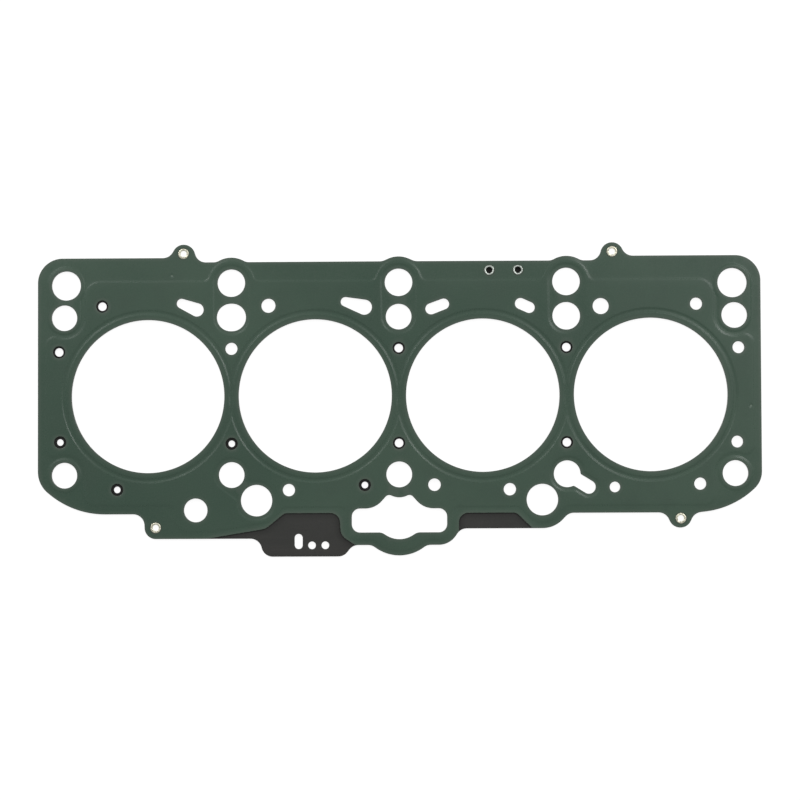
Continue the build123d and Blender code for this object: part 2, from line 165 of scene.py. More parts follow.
RIM_TILT = 0.07                 # spring-back at the foot of the outer bead


# ------------------------------------------------------------------ plan loops
class Loop:
    """A closed line of straight runs and arcs, taken counter-clockwise."""

    def __init__(self, prims):
        self.prims = prims

    def inside(self, P):
        """Distance to the line for every point, positive inside it."""
        best = np.full(len(P), 1e9)
        out = np.full(len(P), -1e9)
        x, y = P[:, 0], P[:, 1]
        for p in self.prims:
            if p[0] == "L":
                _, ax, ay, bx, by = p
                dx, dy = bx - ax, by - ay
                t = np.clip(((x - ax) * dx + (y - ay) * dy) / (dx * dx + dy * dy), 0, 1)
                qx, qy = x - ax - t * dx, y - ay - t * dy
                d = np.hypot(qx, qy)
                side = dx * qy - dy * qx
            else:
                _, cx, cy, r, a0, sweep = p
                vx, vy = x - cx, y - cy
                rho = np.hypot(vx, vy)
                s = 1.0 if sweep > 0 else -1.0
                turn = ((np.arctan2(vy, vx) - a0) * s) % (2 * math.pi)
                d = np.where(turn <= abs(sweep) + 1e-7, np.abs(rho - r), 1e9)
                side = (r - rho) * s
            nearer = d < best - 1e-9
            best = np.where(nearer, d, best)
            out = np.where(nearer, np.where(side >= 0, d, -d), out)
        return out

    def sample(self, step, most_turn=0.22):
        """Points along the line with their outward normals."""
        pts, nrm = [], []
        for p in self.prims:
            if p[0] == "L":
                _, ax, ay, bx, by = p
                dx, dy = bx - ax, by - ay
                length = math.hypot(dx, dy)
                n = max(1, math.ceil(length / step))
                for i in range(n):
                    pts.append((ax + dx * i / n, ay + dy * i / n))
                    nrm.append((dy / length, -dx / length))
            else:
                _, cx, cy, r, a0, sweep = p
                s = 1.0 if sweep > 0 else -1.0
                n = max(math.ceil(abs(sweep) / most_turn), math.ceil(r * abs(sweep) / step), 1)
                for i in range(n):
                    a = a0 + sweep * i / n
                    pts.append((cx + r * math.cos(a), cy + r * math.sin(a)))
                    nrm.append((math.cos(a) * s, math.sin(a) * s))
        return np.array(pts), np.array(nrm)


def rounded(poly):
    """Loop of a polygon given as x, y, corner radius."""
    area = sum(poly[i - 1][0] * poly[i][1] - poly[i][0] * poly[i - 1][1]
               for i in range(len(poly)))
    if area < 0:
        poly = poly[::-1]
    n = len(poly)
    ends, arcs = [], []
    for i in range(n):
        px, py, r = poly[i]
        ax, ay = poly[i - 1][0] - px, poly[i - 1][1] - py
        bx, by = poly[(i + 1) % n][0] - px, poly[(i + 1) % n][1] - py
        la, lb = math.hypot(ax, ay), math.hypot(bx, by)
        ax, ay, bx, by = ax / la, ay / la, bx / lb, by / lb
        if r <= 0:
            ends.append(((px, py), (px, py)))
            arcs.append(None)
            continue
        half = math.acos(max(-1.0, min(1.0, ax * bx + ay * by))) / 2
        t = r / math.tan(half)
        sx, sy = ax + bx, ay + by
        s = math.hypot(sx, sy)
        cx, cy = px + sx / s * r / math.sin(half), py + sy / s * r / math.sin(half)
        a, b = (px + ax * t, py + ay * t), (px + bx * t, py + by * t)
        a0, a1 = math.atan2(a[1] - cy, a[0] - cx), math.atan2(b[1] - cy, b[0] - cx)
        sweep = (a1 - a0 + math.pi) % (2 * math.pi) - math.pi
        ends.append((a, b))
        arcs.append(("A", cx, cy, r, a0, sweep))
    prims = []
    for i in range(n):
        if arcs[i]:
            prims.append(arcs[i])
        (x0, y0), (x1, y1) = ends[i][1], ends[(i + 1) % n][0]
        if math.hypot(x1 - x0, y1 - y0) > 1e-6:
            prims.append(("L", x0, y0, x1, y1))
    return Loop(prims)


def circle(x, y, r):
    return Loop([("A", x, y, r, 0.0, 2 * math.pi)])


def hull(a, b):
    """Loop round two circles."""
    (ax, ay, ar), (bx, by, br) = a, b
    d = math.hypot(bx - ax, by - ay)
    if d < 1e-6:
        return circle(ax, ay, ar)
    base = math.atan2(by - ay, bx - ax)
    off = math.acos((ar - br) / d)
    at = lambda x, y, r, t: (x + r * math.cos(t), y + r * math.sin(t))
    a1, a2 = at(ax, ay, ar, base + off), at(ax, ay, ar, base - off)
    b1, b2 = at(bx, by, br, base + off), at(bx, by, br, base - off)
    return Loop([("A", bx, by, br, base - off, 2 * off), ("L", *b1, *a1),
                 ("A", ax, ay, ar, base + off, 2 * math.pi - 2 * off), ("L", *a2, *b2)])


def keyhole(a, b, rf):
    """Loop round a disc with a straight arm that ends in a half circle; the
    two corners where the arm leaves the disc are rounded."""
    (ax, ay, ar), (bx, by, br) = a, b
    base = math.atan2(by - ay, bx - ax)
    length = math.hypot(bx - ax, by - ay)
    ux, uy = math.cos(base), math.sin(base)
    at = lambda u, v: (ax + ux * u - uy * v, ay + uy * u + ux * v)
    vc = br + rf
    uc = math.sqrt((ar + rf) ** 2 - vc ** 2)
    phi = math.atan2(vc, uc)
    turn = math.pi / 2 - phi
    return Loop([("A", ax, ay, ar, base + phi, 2 * math.pi - 2 * phi),
                 ("A", *at(uc, -vc), rf, base + math.pi - phi, -turn),
                 ("L", *at(uc, -br), *at(length, -br)),
                 ("A", bx, by, br, base - math.pi / 2, math.pi),
                 ("L", *at(length, br), *at(uc, br)),
                 ("A", *at(uc, vc), rf, base - math.pi / 2, -turn)])


outline = rounded(OUTLINE)
tab_cut, patch_cut = rounded(TAB_CUT), rounded(PATCH_CUT)
common_holes = [circle(x, 0.0, BORE_R) for x in BORE_X] + [rounded(WINDOW)]
common_holes += [circle(*c) for c in ROUND] + [hull(*s) for s in SLOTS]
common_holes += [keyhole(*KEY, KEY_R)]
common_holes += [circle(x, y, EYE_WALL_R + PIN_CLEAR) for x, y in EYELETS]
common_holes += [circle(x, y, RIVET_R + PIN_CLEAR) for x, y in RIVETS]
bead_holes = common_holes + [circle(x, y, METER_R) for x, y, r in METER]
core_holes = (common_holes + [circle(x, y, r) for x, y, r in METER]
              + [hull(*s) for s in TAB_HOLES])
field = rounded(FIELD)
basins = [rounded(b) for b in BASINS]
islands = [rounded(b) for b in ISLANDS]


def near(loop, P, reach):
    """Signed distance, worked out only for points near the loop's box."""
    q, _ = loop.sample(2.0)
    lo, hi = q.min(0) - reach, q.max(0) + reach
    pick = ((P > lo) & (P < hi)).all(1)
    out = np.full(len(P), -1e3)
    if pick.any():
        out[pick] = loop.inside(P[pick])
    return out


def to_edge(P, cuts, holes, reach=4.0):
    """Distance from each point to the nearest cut edge, negative off the sheet."""
    e = outline.inside(P)
    for loop in cuts + holes:
        e = np.minimum(e, -near(loop, P, reach))
    return e


# --------------------------------------------------------------- sheet heights
def ease(t):
    t = np.clip(t, 0.0, 1.0)
    return t * t * (3 - 2 * t)


def raised(P):
    """Height of the bead relief above the rim, 0 to LIFT."""
    up = ease(field.inside(P) / RAMP + 0.5)
    for loop in islands:
        up = np.maximum(up, ease(near(loop, P, 2.0) / RAMP + 0.5))
    for loop, deep in zip(basins, BASIN_DEEP):
        up = up * (1 - deep * ease(near(loop, P, 2.0) / RAMP + 0.5))
    dent = np.zeros(len(P))
    for x in BORE_X:
        r = np.abs(np.hypot(P[:, 0] - x, P[:, 1]) - BEAD_R)
        dent = np.maximum(dent, ease((BEAD_FOOT - r) / (BEAD_FOOT - BEAD_FLOOR)))
    return LIFT * up * (1 - dent)


def curl(P):
    """The free edges beside the tab and the patch stand up a little."""
    c = np.minimum(-near(tab_cut, P, 4.0), -near(patch_cut, P, 4.0))
    return CURL * np.clip(1 - c / CURL_W, 0, 1) ** 2


def sprung(P):
    """The flat rim leans a little outwards from the foot of the outer bead."""
    out = -field.inside(P) - RAMP / 2
    reach = np.maximum(outline.inside(P), 0)
    lean = np.where(out > 0, reach / np.maximum(reach + out, 0.5), 1.0)
    low = 1 - ease(field.inside(P) / RAMP + 0.5)
    for loop in islands + basins:
        low = low * (1 - ease(near(loop, P, 3.0) / 1.5 + 1.0))
    return RIM_TILT * np.clip(lean, 0, 1) * low


def pressed(P):
    """Depth of the small dimples."""
    out = np.zeros(len(P))
    for x, y in DIMPLES:
        r = np.hypot(P[:, 0] - x, P[:, 1] - y) / DIMPLE_R
        out += DIMPLE_DEEP * np.clip(1 - r * r, 0, 1)
    return out


def worn(e, radius, roll, width):
    """How far the face falls away towards a punched edge."""
    t = np.clip(radius - np.maximum(e, 0), 0, radius)
    corner = radius - np.sqrt(np.maximum(radius * radius - t * t, 0))
    return corner + roll * np.clip(1 - np.maximum(e, 0) / width, 0, 1) ** 2


# -------------------------------------------------------------- triangulation
def poly_inside(P, poly):
    """Even-odd test of points against one polygon."""
    x, y = P[:, 0][:, None], P[:, 1][:, None]
    ax, ay = poly[:, 0][None], poly[:, 1][None]
    bx, by = np.roll(poly[:, 0], -1)[None], np.roll(poly[:, 1], -1)[None]
    cross = (ay > y) != (by > y)
    with np.errstate(divide="ignore", invalid="ignore"):
        xi = (bx - ax) * (y - ay) / (by - ay) + ax
    return (np.count_nonzero(cross & (x < xi), axis=1) % 2) == 1


def thin_out(P, cell):
    """Drops points that share a small cell with an earlier one."""
    key = np.floor(P / cell).astype(np.int64)
    _, first = np.unique(key[:, 0] * 1000003 + key[:, 1], return_index=True)
    return P[np.sort(first)]


def triangulate(cuts, holes, step, inner_points):
    """2D mesh of the sheet: boundary loops as constraints, the rest as free
    points. Returns points, triangles and which points lie on the boundary."""
    polys = []
    for loop in [outline] + cuts + holes:
        one = loop is not outline and len(loop.prims) == 1
        r = loop.prims[0][3] if one else 10.0
        polys.append(loop.sample(min(step, 2 * math.pi * r / 44) if one else step, 0.16)[0])
    bound = np.concatenate(polys)
    verts = [Vector(p) for p in np.concatenate([bound, inner_points])]
    edges, at = [], 0
    for q in polys:
        n = len(q)
        edges += [(at + i, at + (i + 1) % n) for i in range(n)]
        at += n
    vs, _, fs, orig, _, _ = delaunay_2d_cdt(verts, edges, [], 0, 1e-5, True)
    V = np.array([(v[0], v[1]) for v in vs])
    T = np.array([f[:3] for f in fs])
    on = np.array([(not o) or min(o) < len(bound) for o in orig])
    keep = np.ones(len(T), bool)
    ask = np.flatnonzero(on[T].all(1))
    mid = V[T[ask]].mean(1)
    ok = poly_inside(mid, polys[0])
    for q in polys[1:]:
        lo, hi = q.min(0), q.max(0)
        some = np.flatnonzero(((mid > lo) & (mid < hi)).all(1))
        if len(some):
            ok[some[poly_inside(mid[some], q)]] = False
    keep[ask] = ok
    T = T[keep]
    a, b, c = V[T[:, 0]], V[T[:, 1]], V[T[:, 2]]
    area = (b[:, 0] - a[:, 0]) * (c[:, 1] - a[:, 1]) - (b[:, 1] - a[:, 1]) * (c[:, 0] - a[:, 0])
    T[area < 0] = T[area < 0][:, ::-1]
    T = T[np.abs(area) > 1e-10]
    used, back = np.unique(T, return_inverse=True)
    return V[used], back.reshape(T.shape), on[used]


def border(T):
    """Directed edges that belong to one triangle only."""
    e = np.concatenate([T[:, [0, 1]], T[:, [1, 2]], T[:, [2, 0]]])
    key = e[:, 0].astype(np.int64) * 10**7 + e[:, 1]
    rev = e[:, 1].astype(np.int64) * 10**7 + e[:, 0]
    return e[~np.isin(key, rev)]


def edge_rings(cuts, holes, offsets, step):
    """Points at fixed distances in from every cut edge."""
    out = []
    for d in offsets:
        for loop in [outline] + cuts + holes:
            one = loop is not outline and len(loop.prims) == 1
            r = loop.prims[0][3] if one else 10.0
            p, n = loop.sample(min(step, 2 * math.pi * r / 44) if one else step, 0.16)
            q = p - n * d if loop is outline else p + n * d
            out.append(q[to_edge(q, cuts, holes, d + 1) > d - 0.004])
    return np.concatenate(out)


def relief_points(fine):
    """Points along the bead slopes."""
    out = []
    across = (-0.8, -0.55, -0.3, -0.1, 0.1, 0.3, 0.55, 0.8) if fine else (-0.8, 0.0, 0.8)
    for loop in [field] + basins + islands:
        p, n = loop.sample(1.0 if fine else 2.5, 0.13 if fine else 0.35)
        for d in across:
            q = p + n * d
            if d > 0:
                q = q[loop.inside(q) < -abs(d) + 0.02]
            else:
                q = q[loop.inside(q) > abs(d) - 0.02]
            out.append(q)
    rings = ((-1.75, -1.5, -1.25, -1.0, -0.75, -0.5, -0.3, 0.0, 0.3, 0.5, 0.75, 1.0, 1.25, 1.5,
              1.75) if fine else (-1.5, -0.35, 0.35, 1.5))
    for x in BORE_X:
        for d in rings:
            n = 232 if fine else 110
            t = np.arange(n) * 2 * math.pi / n
            out.append(np.c_[x + (BEAD_R + d) * np.cos(t), (BEAD_R + d) * np.sin(t)])
    if fine:
        for x, y in DIMPLES:
            for r in (0.0, 0.35, 0.7, 1.0, 1.25, 1.6):
                t = np.arange(24) * 2 * math.pi / 24
                out.append(np.c_[x + r * np.cos(t), y + r * np.sin(t)])
        for x, y in EYELETS + RIVETS:
            for r in (2.8, 3.15, 3.5, 3.9):
                t = np.arange(36) * 2 * math.pi / 36
                out.append(np.c_[x + r * np.cos(t), y + r * np.sin(t)])
    return np.concatenate(out)


def fill_points(spacing):
    xs = np.arange(-191, 192, spacing)
    ys = np.arange(-86, 84, spacing * 0.866)
    X, Y = np.meshgrid(xs, ys)
    X[1::2] += spacing / 2
    return np.c_[X.ravel(), Y.ravel()]


def clear_of_relief(P, gap):
    d = np.abs(field.inside(P))
    for loop in basins + islands:
        d = np.minimum(d, np.abs(near(loop, P, gap + 1)))
    for x in BORE_X:
        d = np.minimum(d, np.abs(np.hypot(P[:, 0] - x, P[:, 1]) - BEAD_R) - 0.8)
    return d > gap


# --------------------------------------------------------------- mesh to object
def make_object(name, V, F, parts, attrs, mats, smooth_split=35.0):
    me = bpy.data.meshes.new(name)
    me.from_pydata(V.tolist(), [], F)
    me.validate()
    for m in mats:
        me.materials.append(m)
    if len(mats) > 1:
        me.polygons.foreach_set("material_index", np.asarray(parts, np.int32))
    for key, val in attrs.items():
        a = me.attributes.new(key, "FLOAT", "POINT")
        a.data.foreach_set("value", np.asarray(val, np.float32))
    me.shade_smooth()
    me.set_sharp_from_angle(angle=math.radians(smooth_split))
    me.update()
    ob = bpy.data.objects.new(name, me)
    bpy.context.scene.collection.objects.link(ob)
    return ob


def bead_sheet_mesh(sign, z_face, z_back, curled):
    """A closed thin sheet. sign +1: relief goes up from z_face, -1: down."""
    cuts = [tab_cut, patch_cut]
    e_off = (0.03, 0.09, 0.30, 0.60)
    rings = edge_rings(cuts, bead_holes, e_off, 1.1)
    rel = relief_points(True)
    rel = rel[to_edge(rel, cuts, bead_holes) > 0.72]
    rel = thin_out(rel, 0.13)
    fill = fill_points(4.0)
    fill = fill[to_edge(fill, cuts, bead_holes) > 1.6]
    fill = fill[clear_of_relief(fill, 1.4)]
    V, T, on = triangulate(cuts, bead_holes, 1.1, np.concatenate([rings, rel, fill]))
    rel2 = relief_points(False)
    rel2 = rel2[to_edge(rel2, cuts, bead_holes) > 0.5]
    rel2 = thin_out(rel2, 0.4)
    fill2 = fill_points(9.0)
    fill2 = fill2[to_edge(fill2, cuts, bead_holes) > 2.0]
    fill2 = fill2[clear_of_relief(fill2, 2.0)]
    V2, T2, on2 = triangulate(cuts, bead_holes, 1.1, np.concatenate([rel2, fill2]))

    e = np.where(on, 0.0, np.maximum(to_edge(V, cuts, bead_holes), 0))
    h = raised(V)
    lift = h + (curl(V) + sprung(V) if curled else 0)
    z = lift - worn(e, 0.09, 0.03, 0.6)
    if curled:
        z = z - pressed(V)
    h2 = raised(V2)
    z2 = h2 + (curl(V2) + sprung(V2) if curled else 0)
    A = np.c_[(V + SHIFT), z_face + sign * z] * MM
    B = np.c_[(V2 + SHIFT), z_back + sign * z2] * MM
    n = len(A)
    faces = T.tolist() if sign > 0 else T[:, ::-1].tolist()
    faces += (T2[:, ::-1] + n).tolist() if sign > 0 else (T2 + n).tolist()
    key = {(round(x, 3), round(y, 3)): i + n for i, (x, y) in enumerate(V2) if on2[i]}
    parts = [0] * len(faces)
    missed = 0
    for a, b in border(T):
        i = key.get((round(V[a][0], 3), round(V[a][1], 3)))
        j = key.get((round(V[b][0], 3), round(V[b][1], 3)))
        if i is None or j is None:
            missed += 1
            continue
        quad = [int(b), int(a), i, j]
        faces.append(quad if sign > 0 else quad[::-1])
        parts.append(1)
    print("sheet", len(A), len(B), "faces", len(faces), "open walls", missed)
    eps = 0.02
    gx = (raised(V + [eps, 0]) - raised(V - [eps, 0])) / (2 * eps)
    gy = (raised(V + [0, eps]) - raised(V - [0, eps])) / (2 * eps)
    slope = np.hypot(gx, gy)
    # lighter colour at each dimple's centre: partly worn coating, partly a painted highlight standing
    # in for the shine of the dimple floor
    dimple_wear_and_glint = np.zeros(len(V))
    for x, y in DIMPLES:
        dimple_wear_and_glint = np.maximum(dimple_wear_and_glint, 1 - np.hypot(V[:, 0] - x, V[:, 1] - y) / 0.9)
    # painted shade: a darker ring on the green sheet round each eyelet and rivet flange, where the
    # flange would shade it
    flange_painted_shade = np.zeros(len(V))
    for x, y in EYELETS:
        flange_painted_shade = np.maximum(flange_painted_shade, ease((3.6 - np.hypot(V[:, 0] - x, V[:, 1] - y)) / 0.8))
    for x, y in RIVETS:
        flange_painted_shade = np.maximum(flange_painted_shade, ease((3.3 - np.hypot(V[:, 0] - x, V[:, 1] - y)) / 0.7))
    attrs = {"edge": np.r_[np.minimum(e, 6.0), np.full(len(B), 3.0)],
             "flange_painted_shade": np.r_[flange_painted_shade, np.zeros(len(B))],
             "dimple_wear_and_glint": np.r_[np.clip(dimple_wear_and_glint, 0, 1), np.zeros(len(B))],
             "slope": np.r_[slope, np.zeros(len(B))],
             "height": np.r_[h / LIFT, h2 / LIFT]}
    return np.concatenate([A, B]), faces, parts, attrs


def core_painted_shade(P):
    """Painted shade on the middle sheet, 0 to 1: a painted shadow under the lip of a
    cut-back and painted shade at the bottom of the wide holes over a metering hole."""
    d = np.maximum(near(tab_cut, P, 4.0), near(patch_cut, P, 4.0))
    lip = 0.42 * (1 - ease(d / 0.9)) + 0.58 * (1 - ease(d / LIP_SHADOW_W))
    out = np.where(d > -0.8, LIP_SHADOW * lip, 0.0)
    for x, y, r in METER:
        out = np.maximum(out, 0.92 * ease((METER_R + 0.4 - np.hypot(P[:, 0] - x, P[:, 1] - y)) / 0.4))
    return out


def core_mesh():
    """The flat middle sheet with broken edges on both faces."""
    cuts = []
    rings = edge_rings(cuts, core_holes, (0.04, 0.12, 0.45), 1.3)
    seams = []
    for loop in (tab_cut, patch_cut):
        p, n = loop.sample(1.0, 0.16)
        for d in (-0.5, 0.0, 0.3, 0.6, 1.0, 1.7, 2.5, 3.4, 4.5):
            q = p - n * d
            seams.append(q[np.abs(loop.inside(q) - d) < 0.02])
    for x, y, r in METER:
        for ring in (METER_R - 0.25, METER_R + 0.35):
            t = np.arange(40) * 2 * math.pi / 40
            seams.append(np.c_[x + ring * np.cos(t), y + ring * np.sin(t)])
    seams = np.concatenate(seams)
    seams = thin_out(seams[to_edge(seams, cuts, core_holes) > 0.6], 0.3)
    fill = fill_points(6.0)
    fill = fill[to_edge(fill, cuts, core_holes) > 1.5]
    V, T, on = triangulate(cuts, core_holes, 1.3, np.concatenate([rings, seams, fill]))
    e = np.where(on, 0.0, np.maximum(to_edge(V, cuts, core_holes), 0))
    # painted shade: a 0 to 1 mask for the cut-back lips and the metering-hole recesses, where the
    # sheet would lie in shade
    painted_shade_fac = core_painted_shade(V)
    top = Z_TOP - worn(e, 0.12, 0.04, 0.45)
    low = Z_MID + worn(e, 0.12, 0.02, 0.45)
    n = len(V)
    A, B = np.c_[V + SHIFT, top] * MM, np.c_[V + SHIFT, low] * MM
    faces = T.tolist() + (T[:, ::-1] + n).tolist()
    parts = [0] * len(faces)
    for a, b in border(T):
        faces.append([int(b), int(a), int(a) + n, int(b) + n])
        parts.append(1)
    print("core", n, "faces", len(faces))
    attrs = {"edge": np.r_[np.minimum(e, 6), np.minimum(e, 6)], "painted_shade_fac": np.r_[painted_shade_fac, painted_shade_fac]}
    return np.concatenate([A, B]), faces, parts, attrs


def lathe(profile, centres, n, wobble=None):
    """Closed turned solids, one at each centre, joined in one mesh."""
    V, F, rad = [], [], []
    for k, (cx, cy) in enumerate(centres):
        rows = []
        for i, (r, z) in enumerate(profile):
            if r < 1e-9:
                rows.append([len(V)])
                V.append((cx + SHIFT[0], cy + SHIFT[1], z))
                rad.append(0.0)
                continue
            row = []
            for j in range(n):
                t = 2 * math.pi * j / n
                dr, dz = wobble(i, r, z, t, k) if wobble else (0.0, 0.0)
                row.append(len(V))
                V.append((cx + SHIFT[0] + (r + dr) * math.cos(t),
                          cy + SHIFT[1] + (r + dr) * math.sin(t), z + dz))
                rad.append(r)
            rows.append(row)
        closed = len(rows[0]) > 1 and len(rows[-1]) > 1
        pairs = list(zip(rows, rows[1:])) + ([(rows[-1], rows[0])] if closed else [])
        for a, b in pairs:
            for j in range(n):
                j2 = (j + 1) % n
                if len(a) == 1:
                    F.append([a[0], b[j2], b[j]])
                elif len(b) == 1:
                    F.append([a[j], a[j2], b[0]])
                else:
                    F.append([a[j], a[j2], b[j2], b[j]])
    return np.array(V) * MM, F, np.array(rad)


# ------------------------------------------------------------------- materials
def srgb(r, g, b):
    f = lambda c: c / 12.92 if c <= 0.04045 else ((c + 0.055) / 1.055) ** 2.4
    return (f(r / 255), f(g / 255), f(b / 255), 1.0)


class Graph:
    def __init__(self, name):
        self.mat = bpy.data.materials.new(name)
        self.mat.use_nodes = True
        self.t = self.mat.node_tree
        self.bsdf = next(n for n in self.t.nodes if n.type == "BSDF_PRINCIPLED")
        self.pos = self.add("ShaderNodeTexCoord").outputs["Object"]

    def add(self, kind, **kw):
        n = self.t.nodes.new(kind)
        for k, v in kw.items():
            setattr(n, k, v)
        return n

    def link(self, a, b):
        self.t.links.new(a, b)

    def attr(self, name):
        return self.add("ShaderNodeAttribute", attribute_name=name).outputs["Fac"]

    def noise(self, scale, detail=2.0, rough=0.5, stretch=None, offset=None):
        n = self.add("ShaderNodeTexNoise")
        n.inputs["Scale"].default_value = scale
        n.inputs["Detail"].default_value = detail
        n.inputs["Roughness"].default_value = rough
        src = self.pos
        if stretch or offset:
            m = self.add("ShaderNodeMapping")
            if stretch:
                m.inputs["Scale"].default_value = stretch
            if offset:
                m.inputs["Location"].default_value = offset
            self.link(self.pos, m.inputs["Vector"])
            src = m.outputs["Vector"]
        self.link(src, n.inputs["Vector"])
        return n.outputs["Fac"]

    def ramp(self, src, lo, hi, a=0.0, b=1.0, smooth=True):
        n = self.add("ShaderNodeMapRange")
        n.interpolation_type = "SMOOTHSTEP" if smooth else "LINEAR"
        self.link(src, n.inputs["Value"])
        n.inputs["From Min"].default_value = lo
        n.inputs["From Max"].default_value = hi
        n.inputs["To Min"].default_value = a
        n.inputs["To Max"].default_value = b
        return n.outputs["Result"]

    def math(self, op, a, b=None):
        n = self.add("ShaderNodeMath", operation=op)
        for s, v in ((n.inputs[0], a), (n.inputs[1], b)):
            if v is None:
                continue
            if isinstance(v, (int, float)):
                s.default_value = v
            else:
                self.link(v, s)
        return n.outputs[0]

    def mix(self, fac, a, b):
        n = self.add("ShaderNodeMix", data_type="RGBA")
        f = n.inputs[0]
        if isinstance(fac, (int, float)):
            f.default_value = fac
        else:
            self.link(fac, f)
        for s, v in ((n.inputs[6], a), (n.inputs[7], b)):
            if isinstance(v, tuple):
                s.default_value = v
            else:
                self.link(v, s)
        return n.outputs[2]

    def bump(self, height, strength, distance):
        n = self.add("ShaderNodeBump")
        n.inputs["Strength"].default_value = strength
        n.inputs["Distance"].default_value = distance
        self.link(height, n.inputs["Height"])
        self.link(n.outputs["Normal"], self.bsdf.inputs["Normal"])


def coating():
    """Satin green elastomer coating on the bead sheets."""
    g = Graph("coated_sheet")
    broad = g.noise(9.0, 3.0, 0.55)
    patch = g.noise(70.0, 3.0, 0.6)
    grain = g.noise(1500.0, 2.0, 0.6)
    fine = g.noise(4200.0, 1.0, 0.5)
    green = g.mix(g.ramp(broad, 0.32, 0.68), srgb(56, 78, 65), srgb(66, 87, 73))
    green = g.mix(g.ramp(patch, 0.35, 0.75, 0.0, 0.35), green, srgb(54, 72, 61))
    green = g.mix(g.ramp(grain, 0.35, 0.72, 0.0, 0.30), green, srgb(74, 91, 79))
    edge = g.attr("edge")
    # lighter, greyer band within about 2 mm of every cut edge: partly rubbed coating, partly a
    # painted highlight along the edge
    rub_and_edge_highlight = g.math("MULTIPLY", g.ramp(edge, 0.0, 2.2, 0.45, 0.0), g.ramp(patch, 0.2, 0.8, 0.7, 1.0))
    col = g.mix(rub_and_edge_highlight, green, srgb(88, 97, 89))
    bare = g.math("MULTIPLY", g.ramp(edge, 0.02, 0.16, 1.0, 0.0),
                  g.ramp(g.noise(420.0, 3.0, 0.6), 0.44, 0.62, 0.0, 0.55))
    col = g.mix(bare, col, srgb(128, 128, 120))
    slope = g.attr("slope")
    # slightly lighter colour on the bead slopes: partly burnished coating, partly a painted highlight
    # along the beads
    col = g.mix(g.ramp(slope, 0.04, 0.30, 0.0, 0.10), col, srgb(84, 100, 90))
    # lighter dimple centres, part wear and part painted highlight
    col = g.mix(g.ramp(g.attr("dimple_wear_and_glint"), 0.1, 0.8, 0.0, 0.55), col, srgb(126, 140, 130))
    # painted shade: darker ring round the eyelet and rivet flanges
    flange_painted_shade = g.math("MULTIPLY", g.attr("flange_painted_shade"), g.ramp(grain, 0.2, 0.8, 0.40, 0.62))
    col = g.mix(flange_painted_shade, col, srgb(44, 50, 38))
    g.link(col, g.bsdf.inputs["Base Color"])
    rough = g.math("ADD", g.ramp(patch, 0.3, 0.7, 0.31, 0.36), g.ramp(grain, 0.3, 0.7, -0.03, 0.03))
    rough = g.math("SUBTRACT", rough, g.ramp(slope, 0.04, 0.3, 0.0, 0.04))
    g.link(rough, g.bsdf.inputs["Roughness"])
    g.bsdf.inputs["Specular IOR Level"].default_value = 0.35
    both = g.math("ADD", g.math("MULTIPLY", grain, 0.7), g.math("MULTIPLY", fine, 0.3))
    g.bump(both, 0.25, 0.00002)
    return g.mat


def cut_steel():
    """Punched rim of a coated steel sheet."""
    g = Graph("cut_edge")
    streak = g.noise(900.0, 2.0, 0.6, stretch=(1.0, 1.0, 0.15))
    smear = g.noise(160.0, 3.0, 0.6)
    col = g.mix(g.ramp(streak, 0.3, 0.7), srgb(84, 86, 82), srgb(122, 121, 114))
    col = g.mix(g.ramp(smear, 0.42, 0.62), col, srgb(58, 66, 60))
    g.link(col, g.bsdf.inputs["Base Color"])
    g.link(g.ramp(smear, 0.4, 0.65, 0.75, 0.15), g.bsdf.inputs["Metallic"])
    g.link(g.ramp(streak, 0.3, 0.7, 0.38, 0.55), g.bsdf.inputs["Roughness"])
    g.bump(streak, 0.5, 0.00003)
    return g.mat


def carrier():
    """Matt black finish of the middle sheet."""
    g = Graph("carrier_sheet")
    broad = g.noise(14.0, 3.0, 0.55)
    roll = g.noise(260.0, 3.0, 0.6, stretch=(0.12, 1.0, 1.0))
    grain = g.noise(1700.0, 2.0, 0.6)
    col = g.mix(g.ramp(broad, 0.3, 0.7), srgb(46, 47, 44), srgb(54, 54, 52))
    col = g.mix(g.ramp(roll, 0.35, 0.75, 0.0, 0.35), col, srgb(62, 60, 58))
    col = g.mix(g.ramp(grain, 0.4, 0.75, 0.0, 0.30), col, srgb(40, 39, 38))
    edge = g.attr("edge")
    wear = g.math("MULTIPLY", g.ramp(edge, 0.03, 0.22, 1.0, 0.0),
                  g.ramp(g.noise(380.0, 3.0, 0.6), 0.42, 0.62, 0.05, 0.6))
    col = g.mix(wear, col, srgb(112, 110, 105))
    # painted shade: the colour goes near-black, with a rougher finish, under the cut-back lips and in
    # the recesses round the metering holes
    painted_shade_fac = g.math("MULTIPLY", g.attr("painted_shade_fac"), g.ramp(grain, 0.2, 0.8, 0.9, 1.0))
    col = g.mix(painted_shade_fac, col, srgb(17, 18, 16))
    g.link(col, g.bsdf.inputs["Base Color"])
    dull = g.math("ADD", g.ramp(roll, 0.3, 0.7, 0.48, 0.58), g.ramp(grain, 0.3, 0.7, -0.03, 0.04))
    g.link(g.math("ADD", dull, g.math("MULTIPLY", painted_shade_fac, 0.35)), g.bsdf.inputs["Roughness"])
    g.bsdf.inputs["Specular IOR Level"].default_value = 0.35
    g.bump(g.math("ADD", g.math("MULTIPLY", grain, 0.6), g.math("MULTIPLY", roll, 0.4)),
           0.35, 0.00003)
    return g.mat


def plated():
    """Pale plated brass of the eyelets."""
    g = Graph("eyelet_metal")
    tone = g.noise(600.0, 3.0, 0.6)
    tick = g.noise(2600.0, 2.0, 0.6)
    col = g.mix(g.ramp(tone, 0.35, 0.68), srgb(214, 212, 190), srgb(232, 230, 212))
    col = g.mix(g.ramp(tick, 0.52, 0.74, 0.0, 0.35), col, srgb(158, 154, 132))
    g.link(col, g.bsdf.inputs["Base Color"])
    g.bsdf.inputs["Metallic"].default_value = 0.85
    g.link(g.ramp(tone, 0.3, 0.7, 0.30, 0.46), g.bsdf.inputs["Roughness"])
    g.bump(g.math("ADD", tone, g.math("MULTIPLY", tick, 0.4)), 0.35, 0.00004)
    return g.mat


